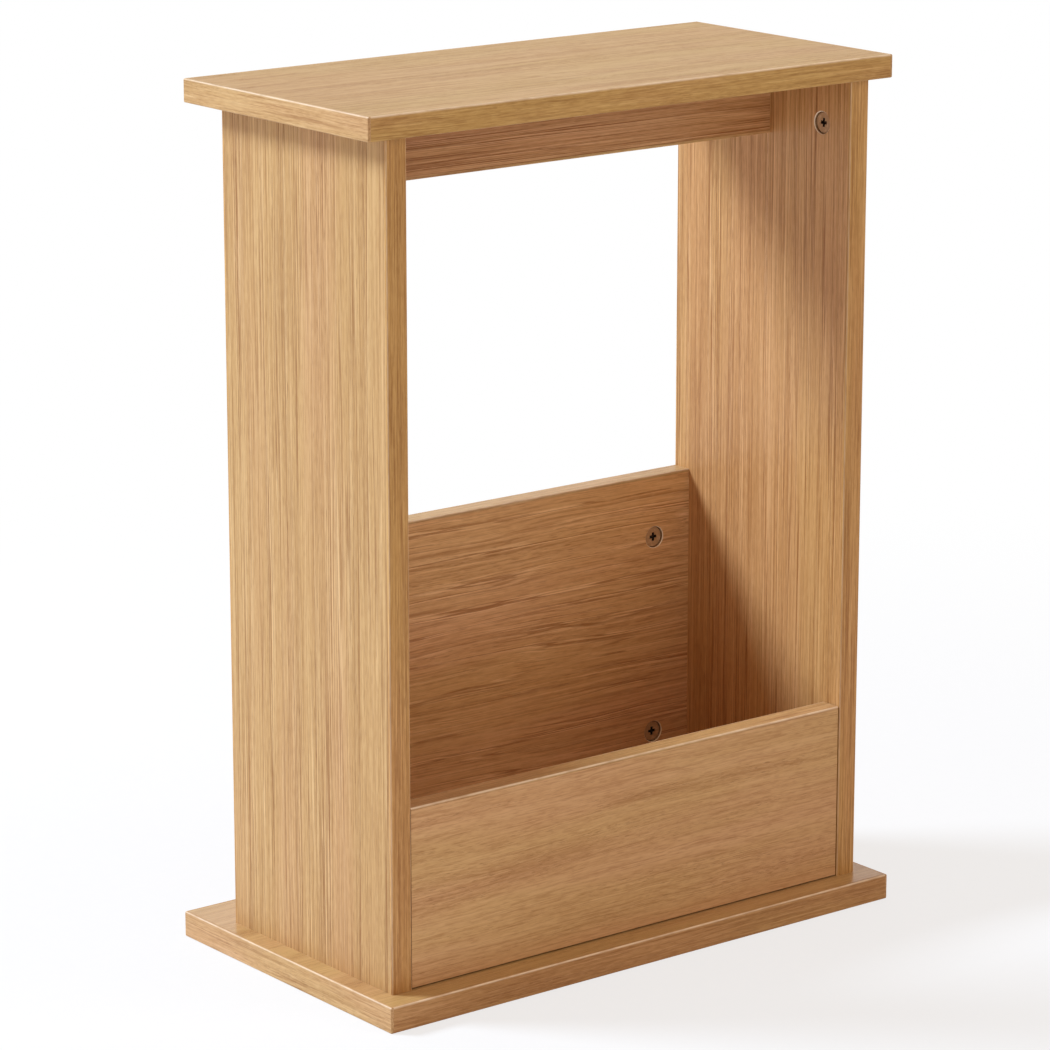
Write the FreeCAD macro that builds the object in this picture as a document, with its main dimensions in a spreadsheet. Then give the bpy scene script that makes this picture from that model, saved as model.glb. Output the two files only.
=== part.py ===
import FreeCAD, Part
import os
from collections import namedtuple

import Sketcher

# Magazine table with a rack: seven boards with banded edges, held by cam fittings and dowels.
# Millimetres. +X runs to the right, +Y to the back and +Z up.
# The origin is on the floor, below the middle of the base.

SIZES = [
    ("total_height", 600.0, "floor to the upper face of the top"),
    ("board", 16.0, "thickness of the top, sides, rail and rack boards"),
    ("base_board", 18.0, "thickness of the base"),
    ("frame_width", 406.0, "over the outer faces of the two sides"),
    ("side_depth", 182.0, "sides, front to back, over their bands"),
    ("top_side_overhang", 17.0, "top past each side"),
    ("top_front_overhang", 5.0, "top in front of the sides"),
    ("top_back_overhang", 19.0, "top behind the sides"),
    ("base_side_overhang", 15.0, "base past each side"),
    ("base_front_overhang", 19.0, "base in front of the sides"),
    ("base_back_overhang", 40.0, "base behind the sides"),
    ("rail_height", 46.0, "rail under the top, over its band"),
    ("rack_back_height", 265.0, "rack's back above the base, over its band"),
    ("rack_front_height", 124.0, "rack's front, over its band"),
    ("rack_front_inset", 1.0, "rack's front behind the front edges of the sides"),
    ("shadow_gap", 1.0, "gap between the rack's front and the base"),
    ("rack_front_end_gap", 0.7, "gap between the rack's front and each side"),
    ("band", 2.0, "thickness of the edge bands"),
    ("edge_round", 1.0, "radius of the bands' outer edges"),
    ("round_limit_share", 0.9, "most of a band's thickness that its rounding takes"),
    ("fit_gap", 0.2, "clearance all round a fitting in its hole"),
    ("hole_room", 1.0, "spare depth past the end of a bolt or dowel"),
    ("overrun", 1.0, "how far a cut runs past the face it opens"),
    ("cam_diameter", 15.0, "cam housing"),
    ("cam_recess", 1.6, "cam's face below the board's face"),
    ("cam_floor", 3.2, "wood left in the board below a cam"),
    ("cam_chamfer", 0.5, "rim of the cam's face"),
    ("bore_chamfer", 0.5, "rim of a cam's bore in the board's face"),
    ("cam_setback", 32.0, "cam's axis from the joint"),
    ("cam_hollow", 9.6, "diameter of the hollow that pulls the bolt's head"),
    ("cam_eccentric", 0.6, "hollow's centre from the cam's axis"),
    ("cross_span", 6.2, "driver recess, tip to tip"),
    ("cross_width", 2.3, "driver recess, width of an arm"),
    ("cross_depth", 2.0, "driver recess"),
    ("thread_diameter", 6.0, "bolt where it screws into a board"),
    ("thread_length", 11.0, "bolt where it screws into a board"),
    ("bolt_tip", 1.2, "chamfer at the screwed end"),
    ("shank_diameter", 6.8, "bolt between the joint and the cam"),
    ("neck_diameter", 4.0, "bolt where it passes the cam's wall"),
    ("head_diameter", 6.4, "bolt's ball head"),
    ("dowel_diameter", 8.0, "wooden dowels"),
    ("dowel_length", 30.0, "wooden dowels"),
    ("dowel_chamfer", 1.0, "both ends of a dowel"),
    ("dowel_face_depth", 10.0, "dowel's length in the face of the mating board"),
    ("side_cam_inset", 29.0, "side's cams from its front and back edges"),
    ("side_dowel_step", 32.0, "side's dowels from its cams"),
    ("rail_dowel_inset", 9.0, "rail's dowels from its lower and upper edges"),
    ("rack_back_low_cam", 73.0, "lower cams of the rack's back from its lower edge"),
    ("rack_back_high_cam", 46.0, "upper cams of the rack's back from its upper edge"),
    ("rack_back_dowel_step", 32.0, "dowels of the rack's back from its cams"),
    ("rack_front_dowel_inset", 28.0, "dowels of the rack's front from its lower and upper edges"),
]

# Places and sizes that follow from the sheet
TOP_WIDTH = "(Sizes.frame_width + 2 * Sizes.top_side_overhang)"
TOP_DEPTH = "(Sizes.top_front_overhang + Sizes.side_depth + Sizes.top_back_overhang)"
BASE_WIDTH = "(Sizes.frame_width + 2 * Sizes.base_side_overhang)"
BASE_DEPTH = "(Sizes.base_front_overhang + Sizes.side_depth + Sizes.base_back_overhang)"
BASE_FRONT = f"(-{BASE_DEPTH} / 2)"
SIDE_FRONT = f"({BASE_FRONT} + Sizes.base_front_overhang)"
SIDE_BACK = f"({SIDE_FRONT} + Sizes.side_depth)"
SIDE_MIDDLE = f"({SIDE_FRONT} + Sizes.side_depth / 2)"
TOP_FRONT = f"({SIDE_FRONT} - Sizes.top_front_overhang)"
UNDER_TOP = "(Sizes.total_height - Sizes.board)"
SIDE_HEIGHT = f"({UNDER_TOP} - Sizes.base_board)"
CLEAR_WIDTH = "(Sizes.frame_width - 2 * Sizes.board)"
LEFT_INNER = f"(-{CLEAR_WIDTH} / 2)"
RAIL_FACE = f"({SIDE_MIDDLE} - Sizes.board / 2)"
RAIL_BOTTOM = f"({UNDER_TOP} - Sizes.rail_height)"
RACK_BACK_TOP = "(Sizes.base_board + Sizes.rack_back_height)"
RACK_FRONT_LEFT = f"({LEFT_INNER} + Sizes.rack_front_end_gap)"
RACK_FRONT_WIDTH = f"({CLEAR_WIDTH} - 2 * Sizes.rack_front_end_gap)"
RACK_FRONT_BOTTOM = "(Sizes.base_board + Sizes.shadow_gap)"
RACK_FRONT_TOP = f"({RACK_FRONT_BOTTOM} + Sizes.rack_front_height)"
RACK_BACK_FACE = f"({SIDE_BACK} - Sizes.board)"
RACK_FRONT_FACE = f"({SIDE_FRONT} + Sizes.rack_front_inset)"
CAM_HEIGHT = "(Sizes.board - Sizes.cam_recess - Sizes.cam_floor)"
BOLT_DEPTH = "(Sizes.board / 2 - Sizes.cam_recess)"
HOLLOW_HEIGHT = "(Sizes.head_diameter + 2 * Sizes.fit_gap)"
SLOT_HEIGHT = "(Sizes.neck_diameter + 2 * Sizes.fit_gap)"
HEAD_OFFSET = "((Sizes.cam_hollow - Sizes.head_diameter) / 2 - Sizes.fit_gap - Sizes.cam_eccentric)"
HEAD_PLACE = f"(Sizes.thread_length + Sizes.cam_setback - {HEAD_OFFSET})"
SHANK_END = "(Sizes.thread_length + Sizes.cam_setback - Sizes.cam_diameter / 2 - 2 * Sizes.fit_gap)"

ZERO = "0"
HALF_TURN = 180.0
FULL_TURN = 360.0
SAME_POINT = 0.001
RIGHT, BACK, UP = (1, 0, 0), (0, 1, 0), (0, 0, 1)
LEFT, FRONT, DOWN = (-1, 0, 0), (0, -1, 0), (0, 0, -1)
X_AXIS, Y_AXIS, Z_AXIS = range(3)

# For each axis: the plane square to it, the two axes drawn on that plane, and the way the plane faces
PLANES = {
    X_AXIS: ("YZ_Plane", Y_AXIS, Z_AXIS, 1),
    Y_AXIS: ("XZ_Plane", X_AXIS, Z_AXIS, -1),
    Z_AXIS: ("XY_Plane", X_AXIS, Y_AXIS, 1),
}

# A joint: cams and bolts at cam_points, dowels at dowel_points, all on the plane where the two boards meet.
# The direction into runs from that plane into the board that holds the cams, whose face side is open.
Joint = namedtuple("Joint", "name cam_board mate_board into face cam_points dowel_points")


def axis_of(direction):
    """Index of the axis that a direction runs along."""
    return next(axis for axis in PLANES if direction[axis])


def opposite(direction):
    """The direction turned round."""
    return tuple(-part for part in direction)


def shift(point, direction, length):
    """Point moved by a length along a direction."""
    axis = axis_of(direction)
    moved = list(point)
    moved[axis] = f"({point[axis]} + ({direction[axis]}) * {length})"
    return tuple(moved)


def fill_sheet(doc):
    """Spreadsheet with one driving size in each row."""
    sheet = doc.addObject("Spreadsheet::Sheet", "Sizes")
    for row, (alias, size, note) in enumerate(SIZES, start=1):
        sheet.set(f"A{row}", alias)
        sheet.set(f"B{row}", str(size))
        sheet.setAlias(f"B{row}", alias)
        sheet.set(f"C{row}", note)
    doc.recompute()


def value(doc, expression):
    """Present value of an expression in the sheet's sizes."""
    return float(doc.Sizes.evalExpression(expression))


def new_body(doc, label, corner=(ZERO, ZERO, ZERO)):
    """Body with its placement bound to the place of its low corner."""
    body = doc.addObject("PartDesign::Body", label)
    body.Label = label
    for axis_name, place in zip("xyz", corner):
        body.setExpression(f"Placement.Base.{axis_name}", place)
    return body


def origin_plane(body, axis):
    """The body's own plane through its origin, square to an axis."""
    role = PLANES[axis][0]
    return next(item for item in body.Origin.OriginFeatures if item.Role == role)


def sketch_on(body, axis, height=ZERO):
    """Sketch square to an axis of the body, at a height along that axis."""
    facing = PLANES[axis][3]
    sketch = body.newObject("Sketcher::SketchObject", "outline")
    sketch.AttachmentSupport = [(origin_plane(body, axis), "")]
    sketch.MapMode = "FlatFace"
    sketch.setExpression("AttachmentOffset.Base.z", f"({height}) * ({facing})")
    return sketch


def bind(sketch, kind, references, expression):
    """Dimension in a sketch that follows an expression."""
    datum = value(sketch.Document, expression)
    index = sketch.addConstraint(Sketcher.Constraint(kind, *references, datum))
    sketch.setExpression(f"Constraints[{index}]", expression)


def draw_polygon(sketch, corners):
    """Closed outline whose corners are pairs of expressions, none of them below zero."""
    doc = sketch.Document
    points = [FreeCAD.Vector(value(doc, across), value(doc, along), 0) for across, along in corners]
    count = len(points)
    for index in range(count):
        sketch.addGeometry(Part.LineSegment(points[index], points[(index + 1) % count]))
    for index, (across, along) in enumerate(corners):
        sketch.addConstraint(Sketcher.Constraint("Coincident", index, 1, (index - 1) % count, 2))
        if across == ZERO:
            sketch.addConstraint(Sketcher.Constraint("PointOnObject", index, 1, -2))
        else:
            bind(sketch, "DistanceX", (-1, 1, index, 1), across)
        if along == ZERO:
            sketch.addConstraint(Sketcher.Constraint("PointOnObject", index, 1, -1))
        else:
            bind(sketch, "DistanceY", (-1, 1, index, 1), along)


def draw_circle(sketch, across, along, diameter):
    """Circle about a point given by expressions."""
    doc = sketch.Document
    centre = FreeCAD.Vector(value(doc, across), value(doc, along), 0)
    circle = Part.Circle(centre, FreeCAD.Vector(*UP), value(doc, diameter) / 2)
    index = sketch.addGeometry(circle)
    bind(sketch, "Diameter", (index,), diameter)
    for kind, distance in (("DistanceX", across), ("DistanceY", along)):
        bind(sketch, kind, (-1, 1, index, 3), distance)


def close_rectangle(sketch, corners):
    """Four lines through four corners, level and upright in turn, starting with a level one."""
    for index in range(4):
        sketch.addGeometry(Part.LineSegment(corners[index], corners[(index + 1) % 4]))
        sketch.addConstraint(Sketcher.Constraint("Vertical" if index % 2 else "Horizontal", index))
    for index in range(4):
        sketch.addConstraint(Sketcher.Constraint("Coincident", index, 2, (index + 1) % 4, 1))


def draw_below(sketch, reach, upper, lower):
    """Rectangle from the vertical axis outwards, between two depths below the origin."""
    doc = sketch.Document
    far, high, low = value(doc, reach), -value(doc, upper), -value(doc, lower)
    corners = [FreeCAD.Vector(0, high, 0), FreeCAD.Vector(far, high, 0),
               FreeCAD.Vector(far, low, 0), FreeCAD.Vector(0, low, 0)]
    close_rectangle(sketch, corners)
    sketch.addConstraint(Sketcher.Constraint("PointOnObject", 0, 1, -2))
    bind(sketch, "DistanceX", (0, 1, 0, 2), reach)
    bind(sketch, "DistanceY", (0, 1, -1, 1), upper)
    bind(sketch, "DistanceY", (2, 1, -1, 1), lower)


def draw_centred(sketch, wide, high):
    """Rectangle about the origin."""
    doc = sketch.Document
    half_wide, half_high = value(doc, wide) / 2, value(doc, high) / 2
    corners = [FreeCAD.Vector(-half_wide, half_high, 0), FreeCAD.Vector(half_wide, half_high, 0),
               FreeCAD.Vector(half_wide, -half_high, 0), FreeCAD.Vector(-half_wide, -half_high, 0)]
    close_rectangle(sketch, corners)
    sketch.addConstraint(Sketcher.Constraint("Symmetric", 0, 1, 2, 1, -1, 1))
    bind(sketch, "DistanceX", (0, 1, 0, 2), wide)
    bind(sketch, "DistanceY", (1, 2, 1, 1), high)


def add_pad(body, sketch, length, axis, way=1):
    """Pad of a sketch along its axis, up the axis or down it."""
    pad = body.newObject("PartDesign::Pad", "pad")
    pad.Profile = sketch
    pad.Reversed = way * PLANES[axis][3] < 0
    pad.setExpression("Length", length)
    return pad


def add_pocket(body, sketch, depth, axis, way):
    """Pocket cut from a sketch, up its axis or down it."""
    pocket = body.newObject("PartDesign::Pocket", "pocket")
    pocket.Profile = sketch
    pocket.Reversed = way * PLANES[axis][3] > 0
    pocket.setExpression("Length", depth)
    return pocket


def make_blank(doc, label, corner, extents, axis):
    """Rectangular piece: its outline square to an axis, padded along that axis."""
    body = new_body(doc, label, corner)
    _, across, along, _ = PLANES[axis]
    wide, high = extents[across], extents[along]
    sketch = sketch_on(body, axis)
    draw_polygon(sketch, [(ZERO, ZERO), (wide, ZERO), (wide, high), (ZERO, high)])
    add_pad(body, sketch, extents[axis], axis)
    return body


def make_band(doc, label, corner, extents, outward, wraps=False):
    """Edge band, rounded away from the board that it is glued to.

    A band that wraps has its ends in the open, and they are rounded too.
    """
    axis = axis_of(outward)
    body = make_blank(doc, label, corner, extents, axis)
    doc.recompute()
    strip = body.Tip
    lengths = [value(doc, extent) for extent in extents]
    run = lengths.index(max(lengths))
    middle = lengths[axis] / 2
    names = []
    for index, edge in enumerate(strip.Shape.Edges, start=1):
        first, last = (vertex.Point for vertex in edge.Vertexes)
        on_glue = all((point[axis] - middle) * outward[axis] < 0 for point in (first, last))
        lengthwise = abs(first[run] - last[run]) > middle
        if not on_glue and (wraps or lengthwise):
            names.append(f"Edge{index}")
    rounding = body.newObject("PartDesign::Fillet", "rounding")
    rounding.Base = (strip, names)
    rounding.setExpression("Radius", "min(Sizes.edge_round; Sizes.band * Sizes.round_limit_share)")
    return body


def drill(body, corner, points, direction, diameter, depth):
    """Round holes of one size, from points on a face of the body."""
    axis = axis_of(direction)
    _, across, along, _ = PLANES[axis]
    sketch = sketch_on(body, axis, f"{points[0][axis]} - {corner[axis]}")
    for point in points:
        places = [f"{point[drawn]} - {corner[drawn]}" for drawn in (across, along)]
        draw_circle(sketch, *places, diameter)
    add_pocket(body, sketch, depth, axis, direction[axis])


def ease_mouths(body, corner, mouths):
    """Chamfer round the mouths of the bores last drilled in a face of the body."""
    doc = body.Document
    doc.recompute()
    bored = body.Tip
    centres = [FreeCAD.Vector(*(value(doc, f"{place} - {low}") for place, low in zip(mouth, corner)))
               for mouth in mouths]
    rim = body.newObject("PartDesign::Chamfer", "mouths")
    rim.Base = (bored, [f"Edge{index}" for index, edge in enumerate(bored.Shape.Edges, start=1)
                        if isinstance(edge.Curve, Part.Circle)
                        and any(edge.Curve.Center.isEqual(centre, SAME_POINT) for centre in centres)])
    rim.setExpression("Size", "Sizes.bore_chamfer")


def make_turned(doc, label, outline):
    """Piece turned about its X axis; each corner of the outline is a place along it and a radius."""
    body = new_body(doc, label)
    sketch = sketch_on(body, Y_AXIS)
    draw_polygon(sketch, outline)
    turned = body.newObject("PartDesign::Revolution", "turned")
    turned.Profile = sketch
    turned.ReferenceAxis = (sketch, ["H_Axis"])
    turned.Angle = FULL_TURN
    return body


def make_dowel(doc):
    """Wooden dowel with chamfered ends, from its end in the mating board."""
    radius = "Sizes.dowel_diameter / 2"
    small = f"({radius} - Sizes.dowel_chamfer)"
    return make_turned(doc, "dowel", [
        (ZERO, ZERO),
        (ZERO, small),
        ("Sizes.dowel_chamfer", radius),
        ("(Sizes.dowel_length - Sizes.dowel_chamfer)", radius),
        ("Sizes.dowel_length", small),
        ("Sizes.dowel_length", ZERO),
    ])


def make_bolt(doc):
    """Cam bolt from its screwed tip: thread, shoulder against the mating board, shank, neck and ball head."""
    thread, shank, neck = "Sizes.thread_diameter / 2", "Sizes.shank_diameter / 2", "Sizes.neck_diameter / 2"
    body = make_turned(doc, "bolt", [
        (ZERO, ZERO),
        (ZERO, f"({thread} - Sizes.bolt_tip)"),
        ("Sizes.bolt_tip", thread),
        ("Sizes.thread_length", thread),
        ("Sizes.thread_length", shank),
        (SHANK_END, shank),
        (SHANK_END, neck),
        (HEAD_PLACE, neck),
        (HEAD_PLACE, ZERO),
    ])
    doc.recompute()
    head = body.newObject("PartDesign::AdditiveSphere", "head")
    head.AttachmentSupport = [(origin_plane(body, Z_AXIS), "")]
    head.MapMode = "FlatFace"
    head.setExpression("Radius", "Sizes.head_diameter / 2")
    head.setExpression("AttachmentOffset.Base.x", HEAD_PLACE)
    return body


def make_cam(doc):
    """Cam housing: face at its origin and upwards, bolt from +X.

    An eccentric hollow holds the bolt's head. A slot half way round lets the neck pass through the wall, and
    a round entry at the slot's end lets the head in before the cam is turned.
    """
    body = new_body(doc, "cam")
    disc = sketch_on(body, Z_AXIS)
    disc.addGeometry(Part.Circle(FreeCAD.Vector(), FreeCAD.Vector(*UP), value(doc, "Sizes.cam_diameter / 2")))
    disc.addConstraint(Sketcher.Constraint("Coincident", 0, 3, -1, 1))
    bind(disc, "Diameter", (0,), "Sizes.cam_diameter")
    drum = add_pad(body, disc, CAM_HEIGHT, Z_AXIS, -1)
    doc.recompute()
    heights = [edge.CenterOfMass.z for edge in drum.Shape.Edges]
    chamfer = body.newObject("PartDesign::Chamfer", "rim")
    chamfer.Base = (drum, [f"Edge{heights.index(max(heights)) + 1}"])
    chamfer.setExpression("Size", "Sizes.cam_chamfer")
    doc.recompute()

    hollow = sketch_on(body, Z_AXIS, f"-({BOLT_DEPTH} - {HOLLOW_HEIGHT} / 2)")
    hollow.addGeometry(Part.Circle(FreeCAD.Vector(-value(doc, "Sizes.cam_eccentric"), 0, 0),
                                   FreeCAD.Vector(*UP), value(doc, "Sizes.cam_hollow / 2")))
    hollow.addConstraint(Sketcher.Constraint("PointOnObject", 0, 3, -1))
    bind(hollow, "DistanceX", (0, 3, -1, 1), "Sizes.cam_eccentric")
    bind(hollow, "Diameter", (0,), "Sizes.cam_hollow")
    add_pocket(body, hollow, HOLLOW_HEIGHT, Z_AXIS, -1)

    slot = sketch_on(body, Y_AXIS)
    reach = "(Sizes.cam_diameter / 2 + Sizes.overrun)"
    draw_below(slot, reach, f"({BOLT_DEPTH} - {SLOT_HEIGHT} / 2)", f"({BOLT_DEPTH} + {SLOT_HEIGHT} / 2)")
    groove = body.newObject("PartDesign::Groove", "slot")
    groove.Profile = slot
    groove.ReferenceAxis = (slot, ["V_Axis"])
    groove.Angle = HALF_TURN
    groove.Midplane = True

    entry = sketch_on(body, Y_AXIS)
    entry.addGeometry(Part.Circle(FreeCAD.Vector(0, -value(doc, BOLT_DEPTH), 0),
                                  FreeCAD.Vector(*UP), value(doc, f"{HOLLOW_HEIGHT} / 2")))
    entry.addConstraint(Sketcher.Constraint("PointOnObject", 0, 3, -2))
    bind(entry, "DistanceY", (0, 3, -1, 1), BOLT_DEPTH)
    bind(entry, "Diameter", (0,), HOLLOW_HEIGHT)
    add_pocket(body, entry, reach, Y_AXIS, 1)

    for wide, high in (("Sizes.cross_span", "Sizes.cross_width"), ("Sizes.cross_width", "Sizes.cross_span")):
        arm = sketch_on(body, Z_AXIS)
        draw_centred(arm, wide, high)
        add_pocket(body, arm, "Sizes.cross_depth", Z_AXIS, -1)
    return body


def within_bands(length):
    """Length of a board between the bands on both of its ends."""
    return f"({length} - 2 * Sizes.band)"


def make_boards(doc):
    """The seven boards as blanks; returns each board's body and the place of its low corner."""
    upright = ("Sizes.board", within_bands("Sizes.side_depth"), SIDE_HEIGHT)
    plans = {
        "top_board": (
            (f"(Sizes.band - {TOP_WIDTH} / 2)", f"({TOP_FRONT} + Sizes.band)", UNDER_TOP),
            (within_bands(TOP_WIDTH), within_bands(TOP_DEPTH), "Sizes.board"), UP),
        "base_board": (
            (f"(Sizes.band - {BASE_WIDTH} / 2)", f"({BASE_FRONT} + Sizes.band)", ZERO),
            (within_bands(BASE_WIDTH), within_bands(BASE_DEPTH), "Sizes.base_board"), UP),
        "left_side_board": (
            ("(-Sizes.frame_width / 2)", f"({SIDE_FRONT} + Sizes.band)", "Sizes.base_board"), upright, RIGHT),
        "right_side_board": (
            (f"({CLEAR_WIDTH} / 2)", f"({SIDE_FRONT} + Sizes.band)", "Sizes.base_board"), upright, RIGHT),
        "top_rail": (
            (LEFT_INNER, RAIL_FACE, f"({RAIL_BOTTOM} + Sizes.band)"),
            (CLEAR_WIDTH, "Sizes.board", "(Sizes.rail_height - Sizes.band)"), BACK),
        "rack_back_board": (
            (LEFT_INNER, RACK_BACK_FACE, "Sizes.base_board"),
            (CLEAR_WIDTH, "Sizes.board", "(Sizes.rack_back_height - Sizes.band)"), BACK),
        "rack_front_board": (
            (RACK_FRONT_LEFT, RACK_FRONT_FACE, RACK_FRONT_BOTTOM),
            (RACK_FRONT_WIDTH, "Sizes.board", "(Sizes.rack_front_height - Sizes.band)"), BACK),
    }
    return {label: (make_blank(doc, label, corner, extents, axis_of(through)), corner)
            for label, (corner, extents, through) in plans.items()}


def make_bands(doc):
    """Edge bands: round the top and base, upright on the sides, and on the open edges of rail and rack."""
    bands = []
    for name, wide, deep, front, low, thickness in (
            ("top", TOP_WIDTH, TOP_DEPTH, TOP_FRONT, UNDER_TOP, "Sizes.board"),
            ("base", BASE_WIDTH, BASE_DEPTH, BASE_FRONT, ZERO, "Sizes.base_board")):
        for hand, outward, place in (("front", FRONT, front),
                                     ("back", BACK, f"({front} + {deep} - Sizes.band)")):
            corner = (f"(Sizes.band - {wide} / 2)", place, low)
            extents = (within_bands(wide), "Sizes.band", thickness)
            bands.append(make_band(doc, f"{name}_{hand}_band", corner, extents, outward))
        for hand, outward, place in (("left", LEFT, f"(-{wide} / 2)"),
                                     ("right", RIGHT, f"({wide} / 2 - Sizes.band)")):
            corner = (place, front, low)
            extents = ("Sizes.band", deep, thickness)
            bands.append(make_band(doc, f"{name}_{hand}_band", corner, extents, outward, wraps=True))
    for hand, place in (("left", "(-Sizes.frame_width / 2)"), ("right", f"({CLEAR_WIDTH} / 2)")):
        for edge, outward, depth in (("front", FRONT, SIDE_FRONT),
                                     ("back", BACK, f"({SIDE_BACK} - Sizes.band)")):
            corner = (place, depth, "Sizes.base_board")
            extents = ("Sizes.board", "Sizes.band", SIDE_HEIGHT)
            bands.append(make_band(doc, f"{hand}_side_{edge}_band", corner, extents, outward))
    between = (LEFT_INNER, CLEAR_WIDTH)
    for label, (left, wide), face, low, outward in (
            ("top_rail_band", between, RAIL_FACE, RAIL_BOTTOM, DOWN),
            ("rack_back_band", between, RACK_BACK_FACE, f"({RACK_BACK_TOP} - Sizes.band)", UP),
            ("rack_front_band", (RACK_FRONT_LEFT, RACK_FRONT_WIDTH), RACK_FRONT_FACE,
             f"({RACK_FRONT_TOP} - Sizes.band)", UP)):
        bands.append(make_band(doc, label, (left, face, low), (wide, "Sizes.board", "Sizes.band"), outward))
    return bands


def list_joints():
    """Every joint between two boards, left and right alike."""
    side_cams = (f"({SIDE_FRONT} + Sizes.side_cam_inset)", f"({SIDE_BACK} - Sizes.side_cam_inset)")
    side_dowels = (f"({side_cams[0]} + Sizes.side_dowel_step)", f"({side_cams[1]} - Sizes.side_dowel_step)")
    rail_cams = (f"({UNDER_TOP} - Sizes.rail_height / 2)",)
    rail_dowels = (f"({RAIL_BOTTOM} + Sizes.rail_dowel_inset)", f"({UNDER_TOP} - Sizes.rail_dowel_inset)")
    back_cams = ("(Sizes.base_board + Sizes.rack_back_low_cam)",
                 f"({RACK_BACK_TOP} - Sizes.rack_back_high_cam)")
    back_dowels = (f"({back_cams[0]} + Sizes.rack_back_dowel_step)",
                   f"({back_cams[1]} - Sizes.rack_back_dowel_step)")
    front_cams = (f"({RACK_FRONT_BOTTOM} + Sizes.rack_front_height / 2)",)
    front_dowels = (f"({RACK_FRONT_BOTTOM} + Sizes.rack_front_dowel_inset)",
                    f"({RACK_FRONT_TOP} - Sizes.rack_front_dowel_inset)")
    back_line = f"({RACK_BACK_FACE} + Sizes.board / 2)"
    front_line = f"({RACK_FRONT_FACE} + Sizes.board / 2)"
    joints = []
    for hand, way, inward in (("left", -1, RIGHT), ("right", 1, LEFT)):
        side = f"{hand}_side_board"
        upright = f"(({way}) * (Sizes.frame_width - Sizes.board) / 2)"
        inner = f"(({way}) * {CLEAR_WIDTH} / 2)"
        for name, mate, into, level in (("top", "top_board", DOWN, UNDER_TOP),
                                        ("base", "base_board", UP, "Sizes.base_board")):
            cams = [(upright, place, level) for place in side_cams]
            dowels = [(upright, place, level) for place in side_dowels]
            joints.append(Joint(name, side, mate, into, inward, cams, dowels))
        for name, board, face, line, cam_levels, dowel_levels in (
                ("rail", "top_rail", BACK, SIDE_MIDDLE, rail_cams, rail_dowels),
                ("rack_back", "rack_back_board", FRONT, back_line, back_cams, back_dowels),
                ("rack_front", "rack_front_board", BACK, front_line, front_cams, front_dowels)):
            cams = [(inner, line, level) for level in cam_levels]
            dowels = [(inner, line, level) for level in dowel_levels]
            joints.append(Joint(name, board, side, inward, face, cams, dowels))
    return joints


def drill_joint(boards, joint):
    """Holes of one joint in both of its boards."""
    cam_board, mate_board = boards[joint.cam_board], boards[joint.mate_board]
    cam_mouths = [shift(shift(point, joint.into, "Sizes.cam_setback"), joint.face, "Sizes.board / 2")
                  for point in joint.cam_points]
    away = opposite(joint.into)
    drill(*cam_board, cam_mouths, opposite(joint.face),
          "(Sizes.cam_diameter + 2 * Sizes.fit_gap)", f"({CAM_HEIGHT} + Sizes.cam_recess)")
    ease_mouths(*cam_board, cam_mouths)
    drill(*cam_board, joint.cam_points, joint.into,
          "(Sizes.shank_diameter + 2 * Sizes.fit_gap)", "Sizes.cam_setback")
    drill(*mate_board, joint.cam_points, away,
          "(Sizes.thread_diameter + 2 * Sizes.fit_gap)", "(Sizes.thread_length + Sizes.hole_room)")
    dowel_bore = "(Sizes.dowel_diameter + 2 * Sizes.fit_gap)"
    drill(*cam_board, joint.dowel_points, joint.into, dowel_bore,
          "(Sizes.dowel_length - Sizes.dowel_face_depth + Sizes.hole_room)")
    drill(*mate_board, joint.dowel_points, away, dowel_bore, "(Sizes.dowel_face_depth + Sizes.hole_room)")


def turn(along, outward):
    """Rotation that lays a piece's X axis along one direction and its Z axis along another."""
    return FreeCAD.Rotation(FreeCAD.Vector(*along), FreeCAD.Vector(), FreeCAD.Vector(*outward), "ZXY")


def place_copies(doc, label, master, places):
    """One node that holds linked copies of a fitting, each bound to its place."""
    copies = []
    for point, rotation in places:
        copy = doc.addObject("App::Link", f"{label}_copy")
        copy.LinkedObject = master
        copy.Placement = FreeCAD.Placement(FreeCAD.Vector(), rotation)
        for axis_name, place in zip("xyz", point):
            copy.setExpression(f"Placement.Base.{axis_name}", place)
        copies.append(copy)
    group = doc.addObject("Part::Compound", label)
    group.Label = label
    group.Links = copies
    return group


def make_fittings(doc, joints):
    """Cams, bolts and dowels, in one node for each kind at each sort of joint."""
    masters = {"cams": make_cam(doc), "bolts": make_bolt(doc), "dowels": make_dowel(doc)}
    nodes = []
    for name in dict.fromkeys(joint.name for joint in joints):
        places = {kind: [] for kind in masters}
        for joint in (item for item in joints if item.name == name):
            away = opposite(joint.into)
            for point in joint.cam_points:
                axis_point = shift(point, joint.into, "Sizes.cam_setback")
                tip = shift(point, away, "Sizes.thread_length")
                places["cams"].append((shift(axis_point, joint.face, BOLT_DEPTH), turn(away, joint.face)))
                places["bolts"].append((tip, turn(joint.into, joint.face)))
            for point in joint.dowel_points:
                start = shift(point, away, "Sizes.dowel_face_depth")
                places["dowels"].append((start, turn(joint.into, joint.face)))
        for kind, master in masters.items():
            nodes.append(place_copies(doc, f"{name}_{kind}", master, places[kind]))
    return nodes


def check_document(doc, nodes):
    """Stops if anything failed, if a pocket cut nothing or if a node's solids are not sound."""
    for item in doc.Objects:
        if {"Invalid", "Error"} & set(item.State):
            raise RuntimeError(f"{item.Label} failed: {item.State}")
        if item.TypeId in ("PartDesign::Pocket", "PartDesign::Groove"):
            if not item.Shape.Volume < item.BaseFeature.Shape.Volume:
                raise RuntimeError(f"{item.Label} cuts nothing")
    for node in nodes:
        if node.Shape.isNull() or not node.Shape.isValid():
            raise RuntimeError(f"{node.Label} has no sound shape")


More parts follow.
